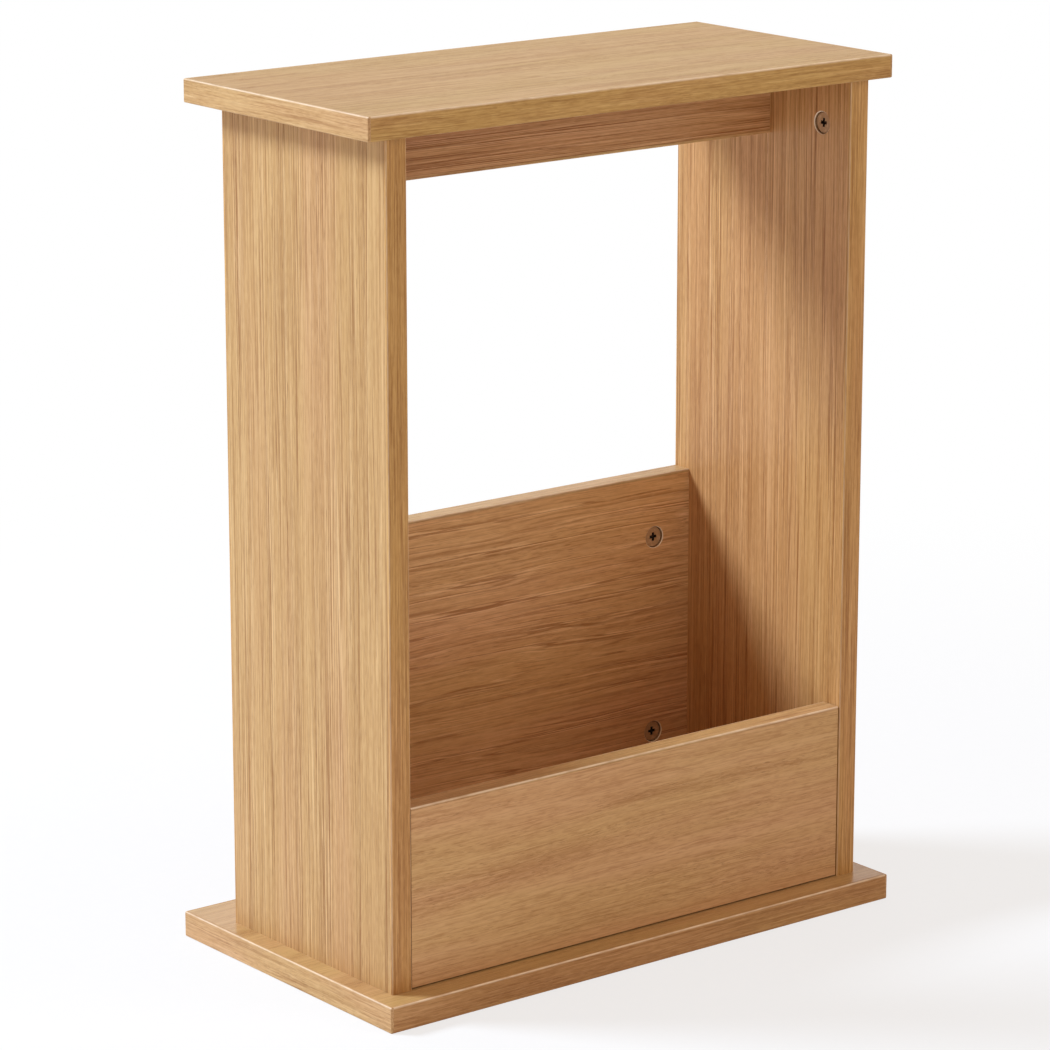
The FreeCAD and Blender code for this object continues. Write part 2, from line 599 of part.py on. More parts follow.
def main():
    """Builds the table and writes each node's solids."""
    doc = FreeCAD.newDocument("magazine_table")
    fill_sheet(doc)
    boards = make_boards(doc)
    bands = make_bands(doc)
    joints = list_joints()
    doc.recompute()
    for joint in joints:
        drill_joint(boards, joint)
    fittings = make_fittings(doc, joints)
    doc.recompute()
    nodes = [body for body, _ in boards.values()] + bands + fittings
    check_document(doc, nodes)
    os.makedirs("parts", exist_ok=True)
    for node in nodes:
        node.Shape.exportStep(f"parts/{node.Label}.step")
        print(node.Label, len(node.Shape.Solids), round(node.Shape.Volume, 1))


main()
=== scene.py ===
"""Magazine table with a rack: oak-faced boards, banded edges and cam fittings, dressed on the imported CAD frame."""
import logging
import math
from dataclasses import dataclass, field, replace
from enum import Enum
from itertools import product
from typing import Optional, Union

import bpy
import numpy as np
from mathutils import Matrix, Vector


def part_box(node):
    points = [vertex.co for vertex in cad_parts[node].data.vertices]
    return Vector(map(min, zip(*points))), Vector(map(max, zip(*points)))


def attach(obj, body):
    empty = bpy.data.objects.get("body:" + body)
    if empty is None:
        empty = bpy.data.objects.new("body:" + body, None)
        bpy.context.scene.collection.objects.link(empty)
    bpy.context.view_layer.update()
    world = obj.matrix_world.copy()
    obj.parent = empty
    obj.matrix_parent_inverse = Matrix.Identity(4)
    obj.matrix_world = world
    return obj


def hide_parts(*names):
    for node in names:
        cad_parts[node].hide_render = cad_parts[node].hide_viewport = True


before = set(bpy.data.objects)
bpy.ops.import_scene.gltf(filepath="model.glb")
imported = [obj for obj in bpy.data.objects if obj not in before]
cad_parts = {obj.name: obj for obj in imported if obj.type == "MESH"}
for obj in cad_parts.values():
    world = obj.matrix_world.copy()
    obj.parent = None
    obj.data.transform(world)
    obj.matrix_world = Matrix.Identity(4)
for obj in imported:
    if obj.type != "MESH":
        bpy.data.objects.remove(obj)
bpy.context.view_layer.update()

log = logging.getLogger("magazine_table")

Colour = tuple[float, float, float]
Rgba = tuple[float, float, float, float]
Point = tuple[float, float, float]
Span = tuple[float, float]
Material = bpy.types.Material
Node = bpy.types.Node
Socket = bpy.types.NodeSocket
Sockets = dict[str, Socket]
Box = tuple[Vector, Vector]
Feed = Union[Socket, float, Point, Rgba]

# Lengths are in metres, and colours are linear.
BODY = "root"
PLAIN = (1.0, 1.0, 1.0)
SHARP_ANGLE = math.radians(40.0)
CAM_RADIUS = 0.0075
BEYOND = 1.0
PATTERN_STEP = (0.731, 1.137, 0.593)

# Inputs and output of a Mix node that mixes colours, and the middle value of a noise.
MIX_FACTOR, MIX_FIRST, MIX_SECOND, MIX_RESULT = 0, 6, 7, 2
NOISE_MIDDLE = 0.5

# Parts of a bored board, by the share of a face's normal that lies square to the board.
FAR_FACE = (-0.1, 0.1)
BORE_LIP = (0.95, 0.8)
BORE_WALL = (0.6, 0.4)


class Grain(Enum):
    """Axis that the grain of a piece runs along."""

    ALONG_X = 0
    ALONG_Y = 1
    ALONG_Z = 2

    def turn(self) -> Point:
        """Turn that brings the grain's axis onto X, in radians about X, Y and Z."""
        return ((0.0, 0.0, 0.0), (0.0, 0.0, -math.pi / 2), (0.0, math.pi / 2, 0.0))[self.value]


class Facing(Enum):
    """Way into the board from the faces of a joint's cams; the flag says that both halves of the table do alike."""

    INWARD = ((1.0, 0.0, 0.0), True)
    BACK = ((0.0, -1.0, 0.0), False)
    FRONT = ((0.0, 1.0, 0.0), False)


class End(Enum):
    """End of the box round a joint's bolts or dowels where they start, along their run."""

    LOW = 0
    HIGH = 1

    def way(self) -> float:
        """Sign of the way from this end along a bolt or dowel."""
        return 1.0 - 2.0 * self.value


def opaque(colour: Colour) -> Rgba:
    """Colour with full alpha, as colour sockets take it."""
    return (*colour, 1.0)


@dataclass(frozen=True)
class Cut:
    """How one piece is cut from its veneer: its grain's way, and tones for its two faces, partly painted light and
    shade.
    """

    grain: Grain
    tone: Colour = PLAIN
    far_tone: Optional[Colour] = None

    def toned(self, colour: Colour) -> Rgba:
        """One of the finish's colours, in this piece's tone."""
        return opaque(tuple(channel * share for channel, share in zip(colour, self.tone)))


@dataclass(frozen=True)
class Noise:
    """Fractal noise from 0 to 1: its cells for each metre along the axes, its octaves and the share of each."""

    cells: Point
    detail: float = 2.0
    roughness: float = 0.5


class NodeSheet:
    """Short calls that lay shader nodes into one node tree."""

    def __init__(self, tree: bpy.types.NodeTree) -> None:
        """Starts on a tree.

        Args:
            tree: node tree of a material, of the world or of a node group.
        """
        self.tree = tree

    def add(self, kind: str, *sources: Feed, **settings: object) -> Node:
        """Adds one node.

        Args:
            kind: node type's name.
            sources: what feeds its first inputs, in order.
            settings: properties to set on the node.

        Returns:
            The new node.
        """
        node = self.tree.nodes.new(kind)
        for name, setting in settings.items():
            setattr(node, name, setting)
        for socket, source in zip(node.inputs, sources):
            self.feed(socket, source)
        return node

    def feed(self, socket: Socket, source: Feed) -> None:
        """Links a socket to another one, or sets its value.

        Args:
            socket: a node's input.
            source: another node's output, or a value.
        """
        if isinstance(source, Socket):
            self.tree.links.new(source, socket)
        else:
            socket.default_value = source

    def fill(self, node: Node, sources: dict[Union[str, int], Feed]) -> Node:
        """Feeds a node's inputs.

        Args:
            node: the node.
            sources: what feeds each input, by its name or number.

        Returns:
            The same node.
        """
        for key, source in sources.items():
            self.feed(node.inputs[key], source)
        return node

    def math(self, operation: str, *sources: Feed) -> Socket:
        """Result of one arithmetic step on up to three values."""
        return self.add("ShaderNodeMath", *sources, operation=operation).outputs[0]

    def times(self, first: Feed, second: Feed) -> Socket:
        """Product of two values."""
        return self.math("MULTIPLY", first, second)

    def vector(self, operation: str, *sources: Feed) -> Socket:
        """Vector result of one step on vectors."""
        return self.add("ShaderNodeVectorMath", *sources, operation=operation).outputs["Vector"]

    def measure(self, operation: str, *sources: Feed) -> Socket:
        """Number that one step on vectors gives, such as a length."""
        return self.add("ShaderNodeVectorMath", *sources, operation=operation).outputs["Value"]

    def split(self, source: Feed) -> list[Socket]:
        """The three components of a vector."""
        return list(self.add("ShaderNodeSeparateXYZ", source).outputs)

    def combine(self, *sources: Feed) -> Socket:
        """Vector made of three values."""
        return self.add("ShaderNodeCombineXYZ", *sources).outputs[0]

    def noise(self, place: Feed, noise: Noise) -> Socket:
        """Value of a noise at a place, in metres."""
        return self.fill(self.add("ShaderNodeTexNoise"), {
            "Vector": self.vector("MULTIPLY", place, noise.cells), "Scale": 1.0,
            "Detail": noise.detail, "Roughness": noise.roughness}).outputs["Fac"]

    def swing(self, place: Feed, noise: Noise) -> Socket:
        """Value of a noise at a place, less its middle value."""
        return self.math("SUBTRACT", self.noise(place, noise), NOISE_MIDDLE)

    def span(self, source: Feed, low: float, high: float, start: float = 0.0, end: float = 1.0) -> Socket:
        """Smooth step from start at low to end at high."""
        node = self.add("ShaderNodeMapRange", interpolation_type="SMOOTHSTEP")
        return self.fill(node, {"Value": source, "From Min": low, "From Max": high,
                                "To Min": start, "To Max": end}).outputs["Result"]

    def blend(self, factor: Feed, first: Feed, second: Feed, mode: str = "MIX") -> Socket:
        """Mix of two colours."""
        node = self.add("ShaderNodeMix", data_type="RGBA", blend_type=mode)
        return self.fill(node, {MIX_FACTOR: factor, MIX_FIRST: first, MIX_SECOND: second}).outputs[MIX_RESULT]

    def bump(self, height: Socket, depth: float, strength: float) -> Socket:
        """Normal of a bump: its height, the metres that a height of 1 stands for, and how much of it shows."""
        return self.fill(self.add("ShaderNodeBump"), {
            "Height": height, "Distance": depth, "Strength": strength}).outputs["Normal"]

    def seen(self) -> Socket:
        """Tells the rays that show a surface from those that carry light.

        Returns:
            1 for a ray from the camera, from a glossy face or through glass, and 0 for the others.
        """
        path = self.add("ShaderNodeLightPath")
        mirrored = self.math("MAXIMUM", path.outputs["Is Glossy Ray"], path.outputs["Is Transmission Ray"])
        return self.math("MAXIMUM", path.outputs["Is Camera Ray"], mirrored)


SOCKETS = {"value": "NodeSocketFloat", "vector": "NodeSocketVector", "colour": "NodeSocketColor"}


class EffectGroup:
    """Shader node group with named sockets, built once and placed in any material."""

    name: str = ""
    takes: dict[str, str] = {}
    gives: dict[str, str] = {}

    def __init__(self) -> None:
        """Builds the group's sockets and nodes."""
        self.tree = bpy.data.node_groups.new(self.name, "ShaderNodeTree")
        for way, sockets in (("INPUT", self.takes), ("OUTPUT", self.gives)):
            for socket, kind in sockets.items():
                self.tree.interface.new_socket(name=socket, in_out=way, socket_type=SOCKETS[kind])
        sheet = NodeSheet(self.tree)
        entry = sheet.add("NodeGroupInput")
        results = self.work(sheet, {socket: entry.outputs[socket] for socket in self.takes})
        leave = sheet.add("NodeGroupOutput")
        for socket, source in results.items():
            sheet.feed(leave.inputs[socket], source)

    def work(self, sheet: NodeSheet, given: Sockets) -> Sockets:
        """Lays the group's own nodes.

        Args:
            sheet: the group's tree.
            given: the group's inputs.

        Returns:
            The source of each output.
        """
        raise NotImplementedError

    def place(self, sheet: NodeSheet, **sources: Feed) -> Sockets:
        """Places the group in a material.

        Args:
            sheet: the material's tree.
            sources: what feeds each input, by the socket's name in small letters with underscores.

        Returns:
            The group's outputs by name.
        """
        node = sheet.add("ShaderNodeGroup", node_tree=self.tree)
        for socket, source in sources.items():
            sheet.feed(node.inputs[socket.replace("_", " ").title()], source)
        return {socket: node.outputs[socket] for socket in self.gives}


@dataclass(frozen=True)
class Figure:
    """One layer of the grain: a noise that turns the wood deeper at one end of its range and paler at the other.

    A span gives the noise's values where none and all of a colour shows, and a share says how much all is.
    """

    noise: Noise
    strength: str
    deep: Span
    pale: Span
    deep_share: float = 1.0
    pale_share: float = 1.0

    def lay(self, sheet: NodeSheet, place: Feed, colour: Socket, given: Sockets) -> tuple[Socket, Socket]:
        """Lays the layer over a colour.

        Args:
            sheet: the group's tree.
            place: where the noise is read.
            colour: the colour so far.
            given: the group's inputs, of which one sets the layer's strength.

        Returns:
            The new colour and the noise's value.
        """
        level = sheet.noise(place, self.noise)
        for tone, span, share in (("Deep", self.deep, self.deep_share), ("Pale", self.pale, self.pale_share)):
            shown = sheet.times(sheet.span(level, *span), given[self.strength])
            colour = sheet.blend(sheet.times(shown, share), colour, given[tone])
        return colour, level


class OakGrain(EffectGroup):
    """Straight oak drawn out along X: growth bands, streaks, crisp lines with a bright side, pores and flecks."""

    name = "oak_grain"
    takes = {"Place": "vector", "Scale": "vector", "Wander": "value", "Bands": "value", "Streaks": "value",
             "Lines": "value", "Pores": "value", "Flecks": "value", "Tint": "value",
             "Pale": "colour", "Body": "colour", "Deep": "colour", "Pore": "colour"}
    gives = {"Colour": "colour", "Relief": "value", "Gloss": "value"}

    drift = Noise((2.6, 11.0, 11.0), 2.0, 0.45)
    shake = Noise((16.0, 70.0, 70.0), 1.0)
    shake_share = 0.12
    bands = Figure(Noise((1.6, 52.0, 52.0), 3.0, 0.55), "Bands", deep=(0.48, 0.3), pale=(0.5, 0.7))
    streaks = Figure(Noise((5.0, 380.0, 380.0), 3.0, 0.62), "Streaks", deep=(0.53, 0.66), pale=(0.46, 0.34))
    hairs = Figure(Noise((18.0, 1000.0, 1000.0), 2.0, 0.6), "Streaks", deep=(0.53, 0.67), pale=(0.45, 0.33),
                   deep_share=0.6, pale_share=0.5)
    flecks = Figure(Noise((130.0, 780.0, 780.0), 1.0), "Flecks", deep=(0.52, 0.7), pale=(0.48, 0.3))
    line = Noise((2.6, 165.0, 165.0), 2.0, 0.55)
    line_span = (0.046, 0.008)
    breaks = Noise((4.5, 120.0, 120.0))
    break_span = (0.38, 0.62)
    bright_side = (0.0, 0.0007, 0.0007)
    pores = Noise((80.0, 1600.0, 1600.0), 1.0)
    pore_span = (0.6, 0.7)
    porous_bands = (0.62, 0.38)
    hue = Noise((2.2, 15.0, 15.0))
    hue_span = (0.36, 0.64)
    yellower = (1.0, 1.04, 0.95)
    redder = (1.0, 0.955, 0.98)
    hair_relief = -0.35
    pore_gloss = 0.25
    line_gloss = 0.06

    def lines(self, sheet: NodeSheet, place: Feed) -> Socket:
        """Thin lines, where a drawn-out noise passes its middle value."""
        return sheet.span(sheet.math("ABSOLUTE", sheet.swing(place, self.line)), *self.line_span)

    def work(self, sheet: NodeSheet, given: Sockets) -> Sockets:
        """Noise read at places that are squeezed across the grain and wander along it, apart from the even flecks.

        Args:
            sheet: the group's tree.
            given: the group's inputs.

        Returns:
            The source of each output.
        """
        start = sheet.vector("MULTIPLY", given["Place"], given["Scale"])
        shake = sheet.times(sheet.swing(start, self.shake), self.shake_share)
        aside = sheet.times(sheet.math("ADD", sheet.swing(start, self.drift), shake), given["Wander"])
        along, across, through = sheet.split(start)
        place = sheet.combine(along, sheet.math("ADD", across, aside), sheet.math("ADD", through, aside))

        colour, bands = self.bands.lay(sheet, place, given["Body"], given)
        colour, _ = self.streaks.lay(sheet, place, colour, given)
        colour, hairs = self.hairs.lay(sheet, place, colour, given)
        whole = sheet.span(sheet.noise(place, self.breaks), *self.break_span)
        line = sheet.times(self.lines(sheet, place), whole)
        ridge = sheet.times(self.lines(sheet, sheet.vector("ADD", place, self.bright_side)), whole)
        for mark, tone in ((ridge, "Pale"), (line, "Deep")):
            colour = sheet.blend(sheet.times(mark, given["Lines"]), colour, given[tone])
        colour, _ = self.flecks.lay(sheet, given["Place"], colour, given)
        porous = sheet.times(sheet.span(bands, *self.porous_bands), given["Pores"])
        pit = sheet.times(sheet.span(sheet.noise(place, self.pores), *self.pore_span), porous)
        colour = sheet.blend(pit, colour, given["Pore"])
        warmth = sheet.span(sheet.noise(start, self.hue), *self.hue_span)
        tint = sheet.blend(warmth, opaque(self.yellower), opaque(self.redder))
        colour = sheet.blend(given["Tint"], colour, sheet.blend(1.0, colour, tint, "MULTIPLY"))

        relief = sheet.math("SUBTRACT", sheet.times(hairs, self.hair_relief), sheet.math("ADD", pit, line))
        gloss = sheet.math("ADD", sheet.times(pit, self.pore_gloss), sheet.times(line, self.line_gloss))
        return {"Colour": colour, "Relief": relief, "Gloss": gloss}


class EdgeHighlight(EffectGroup):
    """Mask along the edges of a box, for a painted highlight where rounded, lacquered edges would catch the light."""

    name = "painted_edge_highlight"
    takes = {"Place": "vector", "Middle": "vector", "Half": "vector", "Width": "value"}
    gives = {"Mask": "value"}

    patch = Noise((60.0, 60.0, 60.0))
    patch_span = (0.3, 0.6)
    patch_range = (0.55, 1.0)

    def work(self, sheet: NodeSheet, given: Sockets) -> Sockets:
        """An edge is near two faces at once, so the mask reads the middle one of the three distances to a face.

        Args:
            sheet: the group's tree.
            given: the group's inputs.

        Returns:
            The source of each output.
        """
        away = sheet.vector("ABSOLUTE", sheet.vector("SUBTRACT", given["Place"], given["Middle"]))
        first, second, third = sheet.split(sheet.vector("SUBTRACT", given["Half"], away))
        low, high = sheet.math("MINIMUM", first, second), sheet.math("MAXIMUM", first, second)
        middle = sheet.math("MAXIMUM", low, sheet.math("MINIMUM", high, third))
        near = sheet.math("SUBTRACT", 1.0, sheet.math("DIVIDE", middle, given["Width"]))
        patch = sheet.span(sheet.noise(given["Place"], self.patch), *self.patch_span, *self.patch_range)
        return {"Mask": sheet.times(sheet.span(near, 0.0, 1.0), patch)}


class Handling(EffectGroup):
    """Faint smears that make a lacquered face a little duller in patches."""

    name = "handling"
    takes = {"Place": "vector", "Polish": "value", "Smears": "value"}
    gives = {"Roughness": "value"}

    smear = Noise((14.0, 14.0, 14.0), 4.0, 0.6)

    def work(self, sheet: NodeSheet, given: Sockets) -> Sockets:
        """Broad cloudy smears on the roughness."""
        dull = sheet.times(sheet.swing(given["Place"], self.smear), given["Smears"])
        return {"Roughness": sheet.math("ADD", given["Polish"], dull)}


class RawCore(EffectGroup):
    """Chips of the pressed core, bare where a board is bored."""

    name = "raw_core"
    takes = {"Place": "vector", "Light": "colour", "Dark": "colour"}
    gives = {"Colour": "colour"}

    chips = Noise((700.0, 900.0, 1300.0), 3.0, 0.6)
    chip_span = (0.38, 0.62)

    def work(self, sheet: NodeSheet, given: Sockets) -> Sockets:
        """Noise with cells of about a millimetre, drawn out a little like chips."""
        chips = sheet.span(sheet.noise(given["Place"], self.chips), *self.chip_span)
        return {"Colour": sheet.blend(chips, given["Dark"], given["Light"])}


class CastSkin(EffectGroup):
    """Fine orange-peel skin of a cast or plated metal, with its worn high spots."""

    name = "cast_skin"
    takes = {"Place": "vector", "Metal": "colour", "Worn": "colour"}
    gives = {"Colour": "colour", "Relief": "value", "Roughness": "value"}

    pits = Noise((1400.0, 1400.0, 1400.0))
    patch = Noise((320.0, 320.0, 320.0), 3.0, 0.6)
    patch_span = (0.48, 0.72)
    worn_share = 0.6
    roughness = 0.46
    rubbed_off = 0.14

    def work(self, sheet: NodeSheet, given: Sockets) -> Sockets:
        """Two noises: pits under a millimetre across, and broader patches of wear, which are smoother.

        Args:
            sheet: the group's tree.
            given: the group's inputs.

        Returns:
            The source of each output.
        """
        worn = sheet.span(sheet.noise(given["Place"], self.patch), *self.patch_span)
        colour = sheet.blend(sheet.times(worn, self.worn_share), given["Metal"], given["Worn"])
        rough = sheet.math("SUBTRACT", self.roughness, sheet.times(worn, self.rubbed_off))
        return {"Colour": colour, "Relief": sheet.noise(given["Place"], self.pits), "Roughness": rough}


@dataclass
class Effects:
    """The shared node groups."""

    grain: OakGrain = field(default_factory=OakGrain)
    wear: EdgeHighlight = field(default_factory=EdgeHighlight)
    handling: Handling = field(default_factory=Handling)
    core: RawCore = field(default_factory=RawCore)
    skin: CastSkin = field(default_factory=CastSkin)


def new_material(name: str) -> tuple[Material, NodeSheet, Node, Socket]:
    """Material with its Principled shader and Object coordinates.

    Args:
        name: the material's name.

    Returns:
        The material, its node sheet, the shader and the place socket.
    """
    material = bpy.data.materials.new(name)
    material.use_nodes = True
    sheet = NodeSheet(material.node_tree)
    shader = material.node_tree.nodes["Principled BSDF"]
    place = sheet.add("ShaderNodeTexCoord").outputs["Object"]
    return material, sheet, shader, place


@dataclass(frozen=True)
class OakFinish:
    """Lacquered oak: its colours, how strongly each feature of the grain shows, and its gloss."""

    pale: Colour = (0.69, 0.43, 0.19)
    body: Colour = (0.58, 0.335, 0.132)
    deep: Colour = (0.39, 0.185, 0.058)
    pore: Colour = (0.25, 0.105, 0.03)
    # Colour of the painted highlight on band edges and bore lips.
    highlight_colour: Colour = (0.94, 0.76, 0.54)
    core_light: Colour = (0.42, 0.26, 0.13)
    core_dark: Colour = (0.27, 0.15, 0.07)
    scale: Point = (1.0, 1.0, 1.0)
    wander: float = 0.02
    bands: float = 0.45
    streaks: float = 0.5
    lines: float = 0.55
    pores: float = 0.5
    flecks: float = 0.15
    tint: float = 0.7
    wear: float = 0.0
    highlight_width: float = 0.0013
    polish: float = 0.4
    coat: float = 0.06
    edge_coat: float = 0.35
    coat_roughness: float = 0.16
    specular: float = 0.18
    smears: float = 0.1
    relief: float = 0.00012
    relief_strength: float = 0.5

    def material(self, effects: Effects, name: str, cut: Cut, offset: Point, worn: Optional[Box] = None,
                 through: Optional[int] = None) -> Material:
        """Oak for one piece.

        Args:
            effects: the shared node groups.
            name: the material's name.
            cut: way that the grain runs and the piece's own tone.
            offset: shift of the pattern, so that no two pieces match.
            worn: box whose edges get a painted highlight, for a band.
            through: axis square to a board's faces, whose bores show the core and have a painted highlight as a lip.

        Returns:
            The material.
        """
        material, sheet, shader, place = new_material(name)
        mapping = sheet.add("ShaderNodeMapping")
        sheet.fill(mapping, {"Vector": place, "Rotation": cut.grain.turn(), "Location": offset})
        oak = effects.grain.place(
            sheet, place=mapping.outputs["Vector"], scale=self.scale, wander=self.wander, bands=self.bands,
            streaks=self.streaks, lines=self.lines, pores=self.pores, flecks=self.flecks, tint=self.tint,
            pale=cut.toned(self.pale), body=cut.toned(self.body), deep=cut.toned(self.deep),
            pore=cut.toned(self.pore))
        use = effects.handling.place(sheet, place=place, polish=self.polish, smears=self.smears)
        colour, coat = oak["Colour"], self.coat
        # Painted highlight along a band's upper edges, where a rounded edge would catch the light; the clear coat is
        # raised there too.
        if worn is not None:
            low, high = worn
            edge = effects.wear.place(sheet, place=place, middle=tuple((low + high) / 2), half=tuple((high - low) / 2),
                                      width=self.highlight_width)["Mask"]
            colour = sheet.blend(sheet.times(edge, self.wear), colour, opaque(self.highlight_colour))
            coat = sheet.math("MULTIPLY_ADD", edge, self.edge_coat, self.coat)
        if through is not None:
            core = effects.core.place(sheet, place=place, light=opaque(self.core_light), dark=opaque(self.core_dark))
            facing = sheet.split(sheet.add("ShaderNodeNewGeometry").outputs["Normal"])[through]
            # Painted light and shade: the far face takes its own tone, so that a shaded face is lightened or warmed
            # apart from the other.
            if cut.far_tone is not None:
                share = tuple(far / near for far, near in zip(cut.far_tone, cut.tone))
                far_share = sheet.blend(sheet.span(facing, *FAR_FACE), opaque(PLAIN), opaque(share))
                colour = sheet.blend(1.0, colour, far_share, "MULTIPLY")
            # Painted highlight on the lip of each bore, in the band edges' highlight colour; the walls below it show
            # the raw core.
            level = sheet.math("ABSOLUTE", facing)
            colour = sheet.blend(sheet.span(level, *BORE_LIP), colour, opaque(self.highlight_colour))
            colour = sheet.blend(sheet.span(level, *BORE_WALL), colour, core["Colour"])
        sheet.fill(shader, {"Base Color": colour, "Roughness": sheet.math("ADD", use["Roughness"], oak["Gloss"]),
                            "Coat Weight": coat, "Coat Roughness": self.coat_roughness,
                            "Specular IOR Level": self.specular,
                            "Normal": sheet.bump(oak["Relief"], self.relief, self.relief_strength)})
        return material


@dataclass(frozen=True)
class MetalFinish:
    """Cast or plated metal of the fittings."""

    metal: Colour
    worn: Colour
    metallic: float
    specular: float = 0.5
    # Painted shade on a cam's rim and in its driver's recess, which stand in a hollow below the board's face.
    painted_shade: Colour = (0.032, 0.018, 0.01)
    unshaded_depth: float = 0.00005
    dark_depth: float = 0.0006
    rim_depth: float = 0.0018
    recess_reach: float = 0.0035
    recess_fade: float = 0.0003
    relief: float = 0.00008
    relief_strength: float = 0.6

    def material(self, effects: Effects, name: str, node: str, facing: Optional[Facing] = None) -> Material:
        """Metal for one group of fittings.

        Args:
            effects: the shared node groups.
            name: the material's name.
            node: CAD node of the group.
            facing: for cams, the way into the board, along which painted shade darkens the face's rim and the driver's
                recess.

        Returns:
            The material.
        """
        material, sheet, shader, place = new_material(name)
        skin = effects.skin.place(sheet, place=place, metal=opaque(self.metal), worn=opaque(self.worn))
        colour = skin["Colour"]
        # Painted shade: below its face, the cam's rim and the driver's recess go dark as shaded hollows.
        if facing is not None:
            way, both = facing.value
            depth = sheet.measure("DOT_PRODUCT", place, way)
            depth = sheet.math("ABSOLUTE", depth) if both else depth
            face = self.face_of(node, facing)
            painted_shade = sheet.span(depth, face + self.unshaded_depth, face + self.dark_depth)
            rim = sheet.span(depth, face + self.rim_depth, face + self.dark_depth)
            recess = sheet.span(self.off_axis(sheet, place, node, facing), self.recess_reach,
                                self.recess_reach - self.recess_fade)
            dark = sheet.times(painted_shade, sheet.math("MAXIMUM", rim, recess))
            colour = sheet.blend(dark, colour, opaque(self.painted_shade))
        sheet.fill(shader, {"Base Color": colour, "Roughness": skin["Roughness"], "Metallic": self.metallic,
                            "Specular IOR Level": self.specular,
                            "Normal": sheet.bump(skin["Relief"], self.relief, self.relief_strength)})
        return material

    def off_axis(self, sheet: NodeSheet, place: Socket, node: str, facing: Facing) -> Socket:
        """Distance from the nearest cam's axis; the cams lie at the corners of their group's box, half a cam in.

        Args:
            sheet: the material's tree.
            place: the Object coordinates.
            node: CAD node of the cams.
            facing: the way into the board.

        Returns:
            The distance, in metres.
        """
        low, high = (np.array(corner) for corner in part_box(node))
        across = np.equal(facing.value[0], 0.0)
        inner = np.where(across, (high - low) / 2 - CAM_RADIUS, 0.0)
        away = sheet.vector("ABSOLUTE", sheet.vector("SUBTRACT", place, tuple((low + high) / 2)))
        aside = sheet.vector("MULTIPLY", sheet.vector("SUBTRACT", away, tuple(inner)), tuple(across.astype(float)))
        return sheet.measure("LENGTH", aside)

    def face_of(self, node: str, facing: Facing) -> float:
        """Where the faces of a group of cams lie.

        Args:
            node: CAD node of the cams.
            facing: the way into the board.

        Returns:
            The least distance along that way, in metres.
        """
        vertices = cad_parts[node].data.vertices
        places = np.empty(3 * len(vertices), dtype=np.float32)
        vertices.foreach_get("co", places)
        way, both = facing.value
        reach = places.reshape(-1, 3) @ np.array(way)
        return float((np.abs(reach) if both else reach).min())


@dataclass(frozen=True)
class FloorFinish:
    """Pale studio floor that shows white to the camera and still takes the table's shadow."""

    paint: Colour = (0.86, 0.855, 0.85)
    grit: Noise = Noise((90.0, 90.0, 90.0), 3.0)
    grit_span: Span = (0.3, 0.7)
    grit_tone: float = 0.985
    roughness: float = 0.9
    specular: float = 0.1
    near: float = 0.45
    far: float = 1.3
    near_share: float = 0.72

    def material(self) -> Material:
        """Matt paint that fades to plain white away from the table, for rays from the camera and from glossy faces.

        Returns:
            The material.
        """
        material, sheet, shader, place = new_material("studio_floor")
        grit = sheet.span(sheet.noise(place, self.grit), *self.grit_span)
        darker = tuple(self.grit_tone * channel for channel in self.paint)
        sheet.fill(shader, {"Base Color": sheet.blend(grit, opaque(self.paint), opaque(darker)),
                            "Roughness": self.roughness, "Specular IOR Level": self.specular})
        share = sheet.span(sheet.measure("LENGTH", place), self.near, self.far, self.near_share, 1.0)
        white = sheet.add("ShaderNodeEmission").outputs["Emission"]
        mix = sheet.add("ShaderNodeMixShader", sheet.times(sheet.seen(), share), shader.outputs["BSDF"], white)
        sheet.feed(material.node_tree.nodes["Material Output"].inputs["Surface"], mix.outputs["Shader"])
        return material


FINE_SCALE = (1.5, 1.6, 1.6)
TOP = OakFinish(scale=FINE_SCALE, bands=0.4, streaks=0.6, lines=0.55, pores=0.6, flecks=0.2, tint=0.45, polish=0.5,
                coat=0.0, specular=0.14)
FOOT = OakFinish(scale=FINE_SCALE, lines=0.35, flecks=0.2, polish=0.3, coat=0.22, specular=0.3)
RACK_FRONT = OakFinish(scale=FINE_SCALE, wander=0.026, bands=0.45, streaks=0.45, lines=0.34, pores=0.6, flecks=0.24)
FIGURED = OakFinish(pale=(0.76, 0.49, 0.23), deep=(0.33, 0.148, 0.044))
UPRIGHT = replace(FIGURED, scale=(0.8, 1.4, 1.4), wander=0.003, bands=0.23, streaks=0.62, lines=0.85, pores=0.6,
                  tint=0.5)
RAIL = replace(FIGURED, scale=(0.8, 1.6, 1.6), wander=0.008, bands=0.8, streaks=0.9, lines=1.0)
RACK_BACK = replace(FIGURED, scale=(0.9, 1.15, 1.15), wander=0.022, bands=0.27, lines=0.85, tint=0.75)
# Bands get a painted highlight along their upper edges, strongest on the front ones.
BAND = replace(FIGURED, scale=(2.4, 1.6, 1.6), wander=0.006, bands=0.3, streaks=0.55, lines=0.3, pores=0.4, flecks=0.22,
               wear=0.75, edge_coat=0.14)
FRONT_BAND = replace(BAND, highlight_colour=(1.0, 0.79, 0.54), wear=1.0, highlight_width=0.0016)
POST_BAND = replace(FIGURED, scale=FINE_SCALE, wander=0.004, bands=0.5, streaks=0.7, lines=0.6, pores=0.4, wear=0.5,
                    highlight_width=0.0011, edge_coat=0.0)
BEECH = OakFinish(pale=(0.74, 0.58, 0.38), body=(0.68, 0.5, 0.31), deep=(0.55, 0.38, 0.22), pore=(0.45, 0.3, 0.17),
                  wander=0.002, bands=0.3, streaks=0.35, lines=0.0, pores=0.3, polish=0.62, coat=0.0)
CAM_METAL = MetalFinish(metal=(0.47, 0.27, 0.13), worn=(0.66, 0.44, 0.25), metallic=0.1, specular=0.2)
BOLT_STEEL = MetalFinish(metal=(0.55, 0.55, 0.53), worn=(0.7, 0.69, 0.66), metallic=1.0)
